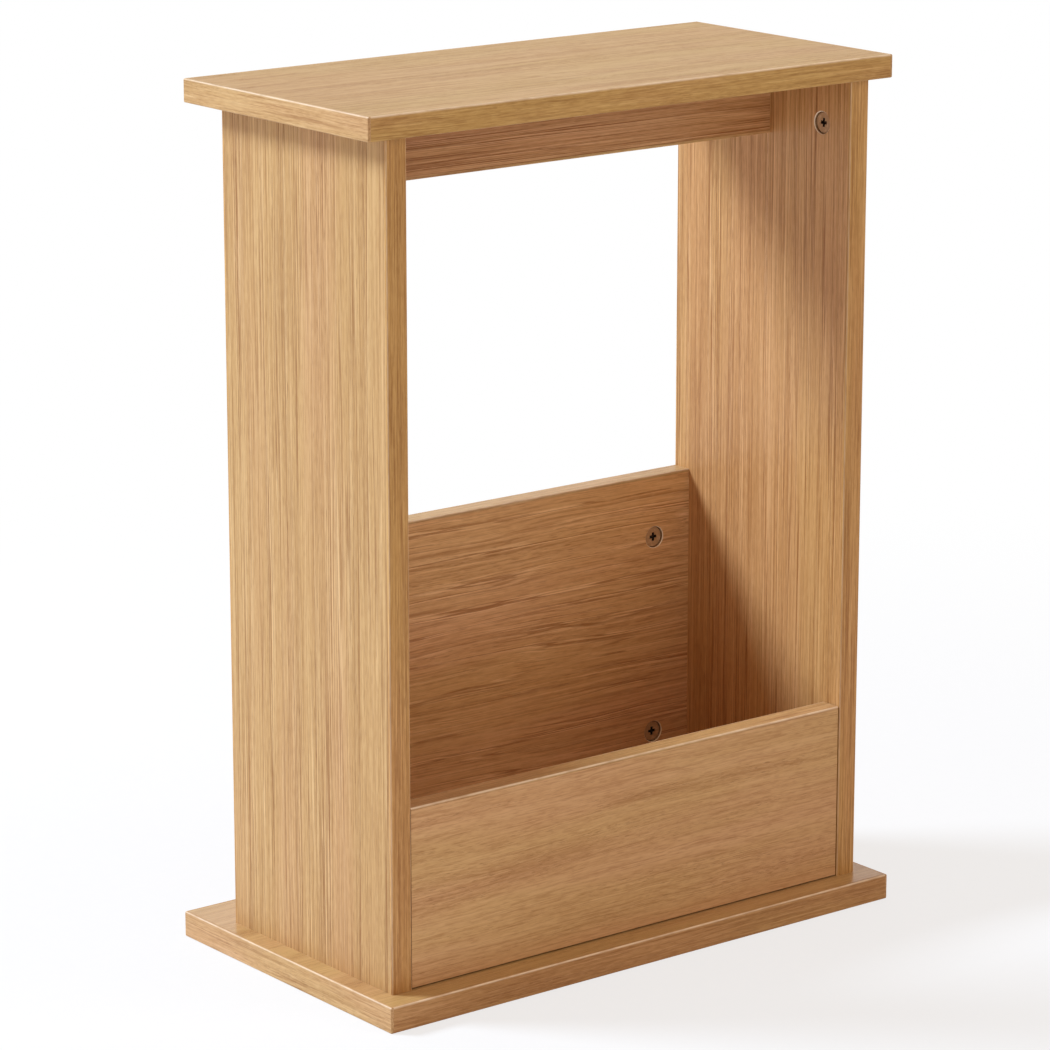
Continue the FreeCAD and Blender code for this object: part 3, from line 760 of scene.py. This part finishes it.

# Tones by which a finish's colours are multiplied: partly each sheet's own, partly painted light and shade.
# Faces in shade, such as the rack's, the rail's front and the sides' inner faces, are lightened or warmed; front bands
# are darkened.
TOP_TONE = (0.87, 0.92, 1.01)
BASE_TONE = (0.95, 0.97, 0.96)
TOP_RIM_TONE = (0.95, 0.93, 0.76)
BASE_RIM_TONE = (0.86, 0.79, 0.72)
END_TONE = (0.97, 0.98, 1.07)
POST_TONE = (0.97, 0.89, 0.74)
OUTER_TONE = (0.96, 0.96, 0.99)
INNER_TONE = (1.02, 0.94, 0.9)
RAIL_TONE = (1.0, 0.87, 0.92)
RACK_BACK_TONE = (1.19, 1.13, 1.24)
RACK_BACK_RIM_TONE = (0.95, 1.0, 1.08)
RACK_FRONT_TONE = (1.08, 1.08, 1.19)
RACK_FRONT_RIM_TONE = (0.92, 0.89, 0.91)


def dress(node: str, material: Material) -> None:
    """Puts a material on every slot of a CAD node.

    Args:
        node: the node's name.
        material: its material.
    """
    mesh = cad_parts[node].data
    mesh.materials.clear()
    mesh.materials.append(material)
    log.info("dressed %s with %s", node, material.name)


def scattered(seed: int) -> Point:
    """Shift of a pattern by whole steps of three lengths with no common measure, in metres."""
    return tuple(seed * step for step in PATTERN_STEP)


@dataclass(frozen=True)
class Board:
    """One board: its cut and finish, and the cuts and finish of the bands glued to its edges."""

    name: str
    cut: Cut
    finish: OakFinish
    bands: dict[str, Cut]
    edge: OakFinish = BAND
    front_edge: OakFinish = FRONT_BAND

    def faces(self) -> int:
        """Axis square to the board's two faces, its thinnest way."""
        return int(np.argmin(np.subtract(*reversed(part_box(self.name)))))

    def edge_finish(self, band: str) -> OakFinish:
        """Finish of a band, with a stronger painted highlight along a front edge."""
        return self.front_edge if band.endswith("front_band") else self.edge

    def highlight_box(self, band: str) -> Box:
        """Box whose edges near a band are that band's outer edges, without the lower ones, which get no painted
        highlight.

        The band's own box goes on beyond the table: along the band, into the board and downwards.

        Args:
            band: CAD node of the band.

        Returns:
            The lowest and highest corners.
        """
        low, high = (corner.copy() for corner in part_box(band))
        along = self.bands[band].grain.value
        low[along], high[along] = low[along] - BEYOND, high[along] + BEYOND
        thin = int(np.argmin(high - low))
        if sum(box[thin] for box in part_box(band)) > sum(box[thin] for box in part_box(self.name)):
            low[thin] -= BEYOND
        else:
            high[thin] += BEYOND
        low.z -= BEYOND
        return low, high


@dataclass
class BoardGroup:
    """Boards of one sub-assembly with their edge bands."""

    effects: Effects
    seed: int
    boards: tuple[Board, ...]

    def dress(self) -> None:
        """Gives each piece its own cut of oak."""
        seed = self.seed
        for board in self.boards:
            oak = board.finish.material(self.effects, f"oak_{board.name}", board.cut, scattered(seed),
                                        through=board.faces())
            dress(board.name, oak)
            for seed, (band, cut) in enumerate(board.bands.items(), start=seed + 1):
                oak = board.edge_finish(band).material(self.effects, f"oak_{band}", cut, scattered(seed),
                                                       worn=board.highlight_box(band))
                dress(band, oak)
            seed += 1


def rim_cuts(board: str, tone: Colour) -> dict[str, Cut]:
    """Cuts of the four bands round a lying board, of which the front and back ones have a tone of their own that holds
    painted shade.
    """
    long_cut, end_cut = Cut(Grain.ALONG_X, tone), Cut(Grain.ALONG_Y, END_TONE)
    return {f"{board}_front_band": long_cut, f"{board}_back_band": long_cut,
            f"{board}_left_band": end_cut, f"{board}_right_band": end_cut}


@dataclass
class TableTop(BoardGroup):
    """The top and its four bands."""

    seed: int = 1
    boards: tuple[Board, ...] = (
        Board("top_board", Cut(Grain.ALONG_X, TOP_TONE), TOP, rim_cuts("top", TOP_RIM_TONE)),)


@dataclass
class Base(BoardGroup):
    """The base and its four bands."""

    seed: int = 11
    boards: tuple[Board, ...] = (
        Board("base_board", Cut(Grain.ALONG_X, BASE_TONE), FOOT, rim_cuts("base", BASE_RIM_TONE)),)


@dataclass
class Sides(BoardGroup):
    """The two sides, with upright grain, and the bands on their front and back edges."""

    seed: int = 21
    # Painted shade: the sides' inner faces take the warmer INNER_TONE, and their outer faces take OUTER_TONE.
    boards: tuple[Board, ...] = tuple(
        Board(f"{hand}_side_board", Cut(Grain.ALONG_Z, tone, far), UPRIGHT,
              {f"{hand}_side_{edge}_band": Cut(Grain.ALONG_Z, POST_TONE) for edge in ("front", "back")},
              edge=POST_BAND, front_edge=POST_BAND)
        for hand, tone, far in (("left", OUTER_TONE, INNER_TONE), ("right", INNER_TONE, OUTER_TONE)))


@dataclass
class TopRail(BoardGroup):
    """The cross rail under the top and the band on its lower edge."""

    seed: int = 31
    # Painted shade: the rail's front takes the warmer RAIL_TONE, and its back takes OUTER_TONE.
    boards: tuple[Board, ...] = (
        Board("top_rail", Cut(Grain.ALONG_X, RAIL_TONE, OUTER_TONE), RAIL, {"top_rail_band": Cut(Grain.ALONG_X)}),)


@dataclass
class MagazineRack(BoardGroup):
    """Back and front of the rack and the bands on their upper edges."""

    seed: int = 41
    # Painted light: the rack's boards are lightened on their front faces and take OUTER_TONE on their backs.
    boards: tuple[Board, ...] = (
        Board("rack_back_board", Cut(Grain.ALONG_X, RACK_BACK_TONE, OUTER_TONE), RACK_BACK,
              {"rack_back_band": Cut(Grain.ALONG_X, RACK_BACK_RIM_TONE)}),
        Board("rack_front_board", Cut(Grain.ALONG_X, RACK_FRONT_TONE, OUTER_TONE), RACK_FRONT,
              {"rack_front_band": Cut(Grain.ALONG_X, RACK_FRONT_RIM_TONE)}))


def grid_faces(rows: int, columns: int) -> np.ndarray:
    """Corner numbers of the quads of a grid that closes on itself along its columns.

    Args:
        rows: rows of points.
        columns: points in each row.

    Returns:
        An array of four corner numbers for each quad: point i of a row, the next one, and the two in the next row.
    """
    row, column = np.meshgrid(np.arange(rows - 1), np.arange(columns), indexing="ij")
    after = (column + 1) % columns
    quads = np.stack([row * columns + column, row * columns + after,
                      (row + 1) * columns + after, (row + 1) * columns + column], axis=-1)
    return quads.reshape(-1, 4)


def surface_object(name: str, points: np.ndarray, quads: np.ndarray, fan: np.ndarray) -> bpy.types.Object:
    """Object at the origin whose mesh has the given points and faces.

    Args:
        name: the object's name.
        points: an array of places, in metres.
        quads: corner numbers of the four-sided faces.
        fan: corner numbers of the three-sided faces round its poles.

    Returns:
        The object, linked to the scene.
    """
    mesh = bpy.data.meshes.new(name)
    mesh.from_pydata(points.tolist(), [], quads.tolist() + fan.tolist())
    mesh.shade_smooth()
    mesh.set_sharp_from_angle(angle=SHARP_ANGLE)
    thing = bpy.data.objects.new(name, mesh)
    bpy.context.scene.collection.objects.link(thing)
    return thing


@dataclass(frozen=True)
class Joint:
    """One sort of joint: the run of its bolts and dowels, the ends where they start, and the way its cams face."""

    name: str
    run: Grain
    ends: tuple[End, ...]
    facing: Facing


@dataclass(frozen=True)
class TurnedPiece:
    """Piece about its own X axis, worked out as rings of points and copied to its places in a joint; in metres."""

    columns: int
    reach: float
    work: str
    slot: str

    def outline(self) -> np.ndarray:
        """Place along the axis and radius of each ring, before anything is cut into it."""
        raise NotImplementedError

    def cut(self, place: np.ndarray, angle: np.ndarray) -> np.ndarray:
        """Depth cut below the outline at a place along the axis and an angle round it."""
        raise NotImplementedError

    def rings(self) -> np.ndarray:
        """Points (x, r cos a, r sin a), where r is the outline's radius less the cut.

        Returns:
            An array of rings by columns by 3.
        """
        place, radius = np.split(self.outline(), 2, axis=1)
        angle = np.linspace(0.0, 2 * np.pi, self.columns, endpoint=False)[np.newaxis]
        left = radius - self.cut(place, angle)
        return np.stack([np.broadcast_to(place, left.shape), left * np.cos(angle), left * np.sin(angle)], axis=-1)

    def levels(self, low: float, high: float) -> tuple[float, ...]:
        """Where the axes lie across a box: one radius in from both sides, or in the middle where only one has room.

        Args:
            low: one side of the box.
            high: the other side.

        Returns:
            The places of the axes.
        """
        if high - low < 4 * self.reach:
            return ((low + high) / 2,)
        return (low + self.reach, high - self.reach)

    def places(self, node: str, joint: Joint) -> list[tuple[np.ndarray, np.ndarray]]:
        """Turn and start of each copy.

        Args:
            node: CAD node of the plain pieces.
            joint: the joint that they belong to.

        Returns:
            A turning matrix and a starting point for each.
        """
        low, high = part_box(node)
        run = joint.run.value
        first, second = (axis for axis in range(3) if axis != run)
        unit = np.eye(3)
        copies = []
        for end, across, up in product(joint.ends, self.levels(low[first], high[first]),
                                       self.levels(low[second], high[second])):
            into = unit[run] * end.way()
            start = unit[run] * (low, high)[end.value][run] + unit[first] * across + unit[second] * up
            copies.append((np.stack([into, unit[first], np.cross(into, unit[first])], axis=1), start))
        return copies

    def build(self, node: str, joint: Joint) -> bpy.types.Object:
        """All copies of one node as one object: rings joined by quads, with a fan of triangles over both ends.

        Args:
            node: CAD node that it stands for.
            joint: the joint that the copies belong to.

        Returns:
            The object.
        """
        rings = self.rings()
        rows = len(rings)
        points = np.concatenate([rings.reshape(-1, 3), rings[[0, -1]].mean(axis=1)])
        step = np.arange(self.columns)
        after, last = (step + 1) % self.columns, (rows - 1) * self.columns
        pole = np.full_like(step, rows * self.columns)
        fan = np.concatenate([np.stack([pole, after, step], axis=-1),
                              np.stack([pole + 1, last + step, last + after], axis=-1)])
        copies = self.places(node, joint)
        shift = len(points) * np.arange(len(copies))[:, np.newaxis, np.newaxis]
        quads = (grid_faces(rows, self.columns) + shift).reshape(-1, 4)
        turned = [points @ turn.T + start for turn, start in copies]
        return surface_object(f"{node}_{self.work}", np.concatenate(turned), quads, (fan + shift).reshape(-1, 3))


@dataclass(frozen=True)
class CamBolt(TurnedPiece):
    """Steel bolt that a cam pulls: screwed tip, shank, neck and ball head."""

    columns: int = 40
    reach: float = 0.0034
    work: str = "threaded"
    slot: str = "bolt_steel"
    thread_radius: float = 0.003
    thread_length: float = 0.011
    thread_pitch: float = 0.0016
    thread_depth: float = 0.0007
    thread_flank: float = 1.6
    thread_fade: float = 0.0008
    thread_rings: int = 70
    tip: float = 0.0012
    ease: float = 0.0003
    shank_end: float = 0.0351
    neck_radius: float = 0.002
    head_radius: float = 0.0032
    head_place: float = 0.0422
    head_rings: int = 14

    def outline(self) -> np.ndarray:
        """A blunt cone, the thread's crest, the shank with eased ends, the neck, and the ball's arc to its pole.

        Returns:
            An array of places and radii.
        """
        screw = np.linspace(0.0, self.thread_length, self.thread_rings)
        crest = np.minimum(self.thread_radius, self.thread_radius - self.tip + screw)
        shank = [(self.thread_length, self.reach - self.ease), (self.thread_length + self.ease, self.reach),
                 (self.shank_end - self.ease, self.reach), (self.shank_end, self.reach - self.ease),
                 (self.shank_end, self.neck_radius)]
        arc = np.linspace(math.pi - math.asin(self.neck_radius / self.head_radius), 0.0, self.head_rings,
                          endpoint=False)
        ball = np.stack([self.head_place + self.head_radius * np.cos(arc), self.head_radius * np.sin(arc)], axis=-1)
        return np.concatenate([np.stack([screw, crest], axis=-1), shank, ball])

    def cut(self, place: np.ndarray, angle: np.ndarray) -> np.ndarray:
        """A flat-bottomed V, one pitch along for each turn round, that runs out at both ends of the thread.

        Args:
            place: places along the axis, as a column.
            angle: angles round it, as a row.

        Returns:
            The depth at each place and angle.
        """
        turn = (place / self.thread_pitch - angle / (2 * np.pi)) % 1.0
        groove = np.minimum(1.0, self.thread_flank * (1.0 - np.abs(2.0 * turn - 1.0)))
        fade = np.clip(np.minimum(place, self.thread_length - place) / self.thread_fade, 0.0, 1.0)
        return self.thread_depth * groove * fade


@dataclass(frozen=True)
class Dowel(TurnedPiece):
    """Fluted wooden dowel with chamfered ends."""

    columns: int = 144
    reach: float = 0.004
    work: str = "fluted"
    slot: str = "dowel_wood"
    length: float = 0.03
    chamfer: float = 0.001
    flutes: int = 18
    flute_depth: float = 0.00035
    middle_rings: int = 6

    def outline(self) -> np.ndarray:
        """A cylinder with a cone at each end.

        Returns:
            An array of places and radii.
        """
        body = np.linspace(self.chamfer, self.length - self.chamfer, self.middle_rings)
        place = np.concatenate([[0.0], body, [self.length]])
        past = np.abs(place - self.length / 2) + self.chamfer - self.length / 2
        return np.stack([place, self.reach - np.maximum(0.0, past)], axis=-1)

    def cut(self, place: np.ndarray, angle: np.ndarray) -> np.ndarray:
        """Round flutes from end to end: half a wave less a cosine, so many times round."""
        return np.broadcast_to(self.flute_depth * (0.5 - 0.5 * np.cos(self.flutes * angle)),
                               (len(place), angle.size))


@dataclass
class Fittings:
    """Cams, bolts and dowels of the five sorts of joint."""

    effects: Effects
    joints: tuple[Joint, ...] = (
        Joint("top", Grain.ALONG_Z, (End.HIGH,), Facing.INWARD),
        Joint("base", Grain.ALONG_Z, (End.LOW,), Facing.INWARD),
        Joint("rail", Grain.ALONG_X, (End.LOW, End.HIGH), Facing.BACK),
        Joint("rack_back", Grain.ALONG_X, (End.LOW, End.HIGH), Facing.FRONT),
        Joint("rack_front", Grain.ALONG_X, (End.LOW, End.HIGH), Facing.BACK))
    bolt: CamBolt = CamBolt()
    dowel: Dowel = Dowel()
    seed: int = 51

    def dress(self) -> None:
        """Cast metal on the cams, threaded bolts of plated steel, and fluted dowels of plain beech."""
        for seed, joint in enumerate(self.joints, start=self.seed):
            cams, bolts, dowels = (f"{joint.name}_{kind}" for kind in ("cams", "bolts", "dowels"))
            dress(cams, CAM_METAL.material(self.effects, f"cam_metal_{joint.name}", cams, joint.facing))
            steel = BOLT_STEEL.material(self.effects, f"bolt_steel_{joint.name}", bolts)
            beech = BEECH.material(self.effects, f"beech_{joint.name}", Cut(joint.run), scattered(seed))
            self.stand_in(self.bolt, bolts, joint, steel)
            self.stand_in(self.dowel, dowels, joint, beech)

    def stand_in(self, piece: TurnedPiece, node: str, joint: Joint, material: Material) -> None:
        """Puts worked pieces in the place of a node's plain ones.

        Args:
            piece: the worked piece.
            node: CAD node that it stands for.
            joint: the joint that the node belongs to.
            material: its material.
        """
        dress(node, material)
        thing = piece.build(node, joint)
        thing.data.materials.append(material)
        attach(thing, BODY)
        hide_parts(node)
        log.info("built %s in place of %s", thing.name, node)


@dataclass(frozen=True)
class SoftBox:
    """Round soft box that looks at the table: the way towards it, its width, its level and its colour."""

    name: str
    way: Point
    size: float
    level: float
    colour: Colour
    distance: float = 6.0

    def hang(self, aim: Vector) -> None:
        """Hangs the lamp.

        A lamp of power P at distance d gives a matt white face square to it the level P / (pi d)^2.

        Args:
            aim: the point that it looks at.
        """
        lamp = bpy.data.lights.new(self.name, "AREA")
        lamp.shape = "DISK"
        lamp.size = self.size
        lamp.color = self.colour
        lamp.energy = self.level * (math.pi * self.distance) ** 2
        box = bpy.data.objects.new(self.name, lamp)
        way = Vector(self.way).normalized()
        box.location = aim + way * self.distance
        box.rotation_mode = "QUATERNION"
        box.rotation_quaternion = (-way).to_track_quat("-Z", "Y")
        bpy.context.scene.collection.objects.link(box)
        log.info("hung %s", box.name)


@dataclass(frozen=True)
class Studio:
    """Floor, world, lamps and camera; its angles are in degrees."""

    floor_reach: float = 9.0
    floor_rings: int = 24
    floor_spokes: int = 72
    fill: Colour = (0.5, 0.41, 0.36)
    white: Colour = PLAIN
    aim: Point = (0.0, 0.0, 0.3)
    lamps: tuple[SoftBox, ...] = (
        SoftBox("key_softbox", way=(-0.55, 0.53, 0.64), size=1.8, level=0.88, colour=(1.0, 1.2, 1.46)),
        SoftBox("front_softbox", way=(0.5, -0.62, 0.6), size=3.2, level=0.14, colour=(1.0, 0.92, 0.82)),
    )
    yaw: float = 38.007
    pitch: float = 14.38
    sideways: float = -0.010727
    height: float = 0.283447
    distance: float = 3.009077
    focal_pixels: float = 4393.58
    picture: float = 1050.0
    sensor: float = 36.0

    def lay_floor(self) -> None:
        """Disc on z = 0: point (r, a) lies at (r cos a, r sin a, 0), with r growing as the square of its step."""
        reach = self.floor_reach * (np.arange(1, self.floor_rings + 1) / self.floor_rings) ** 2
        turn = np.linspace(0.0, 2 * np.pi, self.floor_spokes, endpoint=False)
        radius, angle = np.meshgrid(reach, turn, indexing="ij")
        ring = np.stack([radius * np.cos(angle), radius * np.sin(angle), np.zeros_like(radius)], axis=-1)
        points = np.concatenate([ring.reshape(-1, 3), np.zeros((1, 3))])
        step = np.arange(self.floor_spokes)
        hub = np.full_like(step, len(points) - 1)
        fan = np.stack([hub, step, (step + 1) % self.floor_spokes], axis=-1)
        quads = grid_faces(self.floor_rings, self.floor_spokes)[:, ::-1]
        floor = surface_object("studio_floor", points, quads, fan)
        floor.data.materials.append(FloorFinish().material())
        log.info("laid %s", floor.name)

    def light_world(self) -> None:
        """Even pale surround that lights the table as soft fill and is white where the camera sees it."""
        world = bpy.data.worlds.new("studio")
        world.use_nodes = True
        bpy.context.scene.world = world
        sheet = NodeSheet(world.node_tree)
        background = world.node_tree.nodes["Background"]
        colour = sheet.blend(sheet.seen(), opaque(self.fill), opaque(self.white))
        sheet.feed(background.inputs["Color"], colour)
        log.info("lit the surround")

    def set_camera(self) -> None:
        """Camera in front of the table's left corner and a little above it."""
        yaw, pitch = math.radians(self.yaw), math.radians(self.pitch)
        forward = Vector((math.sin(yaw) * math.cos(pitch), math.cos(yaw) * math.cos(pitch), -math.sin(pitch)))
        right = forward.cross(Vector((0.0, 0.0, 1.0))).normalized()
        lens = bpy.data.cameras.new("camera")
        lens.sensor_width = self.sensor
        lens.lens = self.focal_pixels * self.sensor / self.picture
        camera = bpy.data.objects.new("camera", lens)
        camera.location = right * self.sideways + Vector((0.0, 0.0, self.height)) - forward * self.distance
        camera.rotation_mode = "QUATERNION"
        camera.rotation_quaternion = forward.to_track_quat("-Z", "Y")
        bpy.context.scene.collection.objects.link(camera)
        bpy.context.scene.camera = camera
        log.info("set %s", camera.name)

    def build(self) -> None:
        """Builds the whole studio."""
        self.lay_floor()
        self.light_world()
        for lamp in self.lamps:
            lamp.hang(Vector(self.aim))
        self.set_camera()
        bpy.context.scene.view_settings.view_transform = "Standard"


def main() -> None:
    """Dresses the table, sub-assembly by sub-assembly, and sets up the studio."""
    logging.basicConfig(level=logging.INFO, format="%(name)s: %(message)s")
    effects = Effects()
    for part in (TableTop, Base, Sides, TopRail, MagazineRack, Fittings):
        part(effects).dress()
    Studio().build()


if __name__ == "__main__":
    main()
